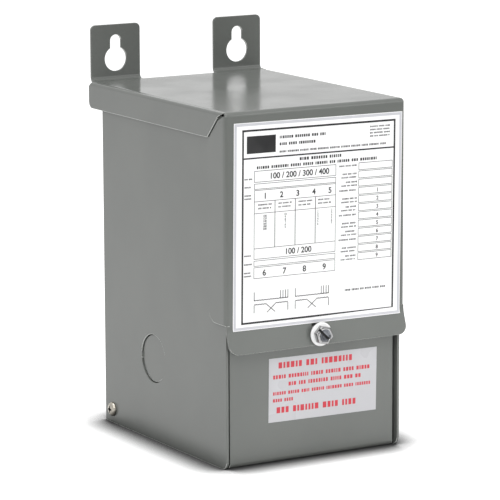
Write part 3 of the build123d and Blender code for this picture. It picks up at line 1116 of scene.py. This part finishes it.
# %% Draw the column of boxes on the right
BOXES = 12
BOX_TOP = 30.9
BOX_PITCH = 4.65
BOX_HEIGHT = 3.9
BOX_LEFT = 25.9
BOX_RIGHT = 48.1
BOX_ROW_END = 24.8
for row in range(BOXES):
    high = BOX_TOP - row * BOX_PITCH
    rules.frame(BOX_LEFT, high - BOX_HEIGHT, BOX_RIGHT, high, HAIR)
    rules.blocks(13.0 + 2.2 * (row % 3), high - 1.7, BOX_ROW_END, 1.2, rng)
    if row % 3 != 0:
        rules.blocks(14.5, high - 3.6, BOX_ROW_END, 1.1, rng)
print("Boxes:", BOXES)

# %% [markdown]
# Longer rows of blocks fill the head, the left edge and the heads of the columns. Each row says
# its left end, its foot, its right end and its height, in millimetres from the middle.

# %% Fill in rows of small blocks
for left, base, right, height, top in (
    (-26.0, 48.0, 4.0, 2.0, BLOCK_TOP),
    (-26.0, 44.2, -1.0, 2.0, BLOCK_TOP),
    (-26.0, 40.2, 44.0, 1.4, BLOCK_TOP),
    (-13.0, 35.0, 15.0, 2.3, 0.8),
    (-40.5, 31.9, 41.0, 2.2, 0.8),
):
    rules.blocks(left, base, right, height, rng, top)
for base in (50.4, 48.6, 46.8, 45.0):
    rules.blocks(33.0, base, 46.5, 1.1, rng)
rules.blocks(17.5, -41.5, 45.0, 1.4, rng)
for base in (26.3, 21.8, 17.2, 15.4, -16.4, -21.2, -26.0, -27.8):
    rules.blocks(-48.3, base, -43.0, 1.1, rng)
for column in (-39.5, -26.5, -13.5, -0.8):
    for base in (11.6, 9.6):
        rules.blocks(column, base, column + 9.0, 1.1, rng)
rules.bar(-47.0, 40.9, -28.5, 50.6)
print("Rows of blocks filled in")

# %% [markdown]
# Two winding diagrams stand at the foot of the plate. Each has one long coil over two short ones:
# the long one has a lead on the left and four taps on the right, and the short ones have a lead
# at their outer ends and meet in two lines that cross.

# %% Draw two winding diagrams
LEAD = 0.44
LONG_TURNS = 22
LONG_WIDE = 21.8
LONG_FOOT = -41.6
SHORT_TURNS = 8
SHORT_PITCH = 1.0
SHORT_FOOT = -44.0
for left in (-41.7, -15.1):
    right = left + LONG_WIDE
    rules.coil(left, LONG_FOOT, LONG_WIDE / LONG_TURNS, LONG_TURNS)
    rules.stroke((left, LONG_FOOT), (left, LONG_FOOT + 5.0), LEAD)
    for tap in (0.0, 1.6, 3.2, 4.8):
        rules.stroke((right - tap, LONG_FOOT), (right - tap, LONG_FOOT + 4.8), LEAD)
    for outer in (left, right):
        rules.stroke((outer, SHORT_FOOT), (outer, SHORT_FOOT - 4.4), LEAD)
    for side, outer in ((1, left), (-1, right)):
        inner = outer + side * SHORT_TURNS * SHORT_PITCH
        rules.coil(outer, SHORT_FOOT, side * SHORT_PITCH, SHORT_TURNS)
        rules.stroke((inner, SHORT_FOOT), (inner + side * 5.6, SHORT_FOOT - 4.6), LEAD)
plate_rules = rules.done(print_black)
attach(plate_rules, "case")

# %% [markdown]
# ## Numbers
# Numbers are text objects, which are curves. Each is made a mesh first, and only then
# turned and placed, so that its place ends up in its mesh. They count plainly, in ones, in
# twenties or in hundreds.

# %% Print the numbers
NUMBER_SCALE = 1.38
NUMBER_BOLD = 0.035


def number(text, across, up, height):
    """Plain numerals as a thin mesh, standing on the plane of the plate's print."""
    bpy.ops.object.select_all(action="DESELECT")
    bpy.ops.object.text_add()
    piece = bpy.context.object
    piece.data.body = text
    piece.data.align_x = "CENTER"
    piece.data.size = height * NUMBER_SCALE * MM
    piece.data.offset = height * NUMBER_BOLD * MM
    only(piece)
    bpy.ops.object.convert(target="MESH")
    piece.location = (across * MM, up * MM, 0)
    settle(piece)
    thicken(piece, INK)
    face_front(piece, print_middle, PLATE_LEAN)
    return piece


figures = [
    number("100 / 200 / 300 / 400", -13.0, 26.3, 3.3),
    number("100 / 200", -13.5, -16.8, 3.3),
]
for index in range(5):
    figures.append(number(str(index + 1), -35.0 + 10.5 * index, 15.4, 3.3))
for index in range(4):
    figures.append(number(str(index + 6), -35.3 + 13.0 * index, -27.6, 3.4))
for row in range(3, BOXES):
    figures.append(number(str(row - 2), 38.5, BOX_TOP - row * BOX_PITCH - 3.1, 2.2))
for row in range(6):
    base = 5.2 - 1.45 * row
    figures.append(number(str(100 + 20 * row), -35.2, base, 1.2))
    figures.append(number(str(10 - row), -22.0, base, 1.2))
    figures.append(number(str(row + 1), -0.8, base, 1.2))
    figures.append(number(str(row + 2), 8.2, base, 1.2))
plate_numbers = joined("plate_numbers", *figures)
plate_numbers.data.materials.clear()
plate_numbers.data.materials.append(print_black)
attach(plate_numbers, "case")
report(plate_numbers)

# %% [markdown]
# ## Door sticker
# The door carries a pale film with rows of plain red blocks in two sizes. It rides on the door,
# so it swings with it.

# %% Lay the sticker on the door
STICKER_CENTRE = Vector((65.8, 41.2))
STICKER_SIZE = Vector((71.4, 36.6))
STICKER_LEAN = -0.8
sticker_middle = Vector((cover_left + STICKER_CENTRE.x * MM, door_low.y, STICKER_CENTRE.y * MM))
sticker = film_on("door_sticker", sticker_middle, STICKER_SIZE, STICKER_LEAN)
thicken(sticker, FILM)
sticker.data.materials.append(sticker_pale)
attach(sticker, "door")
report(sticker)

# %% Print rows of red blocks on it

sticker_print = Print("sticker_rules", sticker_middle + Vector((0, -FILM, 0)), STICKER_LEAN)
for left, base, right, height in (
    (-29.5, 11.9, 22.0, 4.2),
    (-32.9, 6.1, 32.5, 2.7),
    (-22.8, 1.6, 25.6, 2.7),
    (-32.9, -3.1, 32.9, 2.3),
    (-32.9, -7.1, -17.6, 2.3),
    (-30.5, -13.7, 24.0, 4.2),
):
    sticker_print.blocks(left, base, right, height, rng, 0.9)
sticker_rules = sticker_print.done(print_red)
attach(sticker_rules, "door")
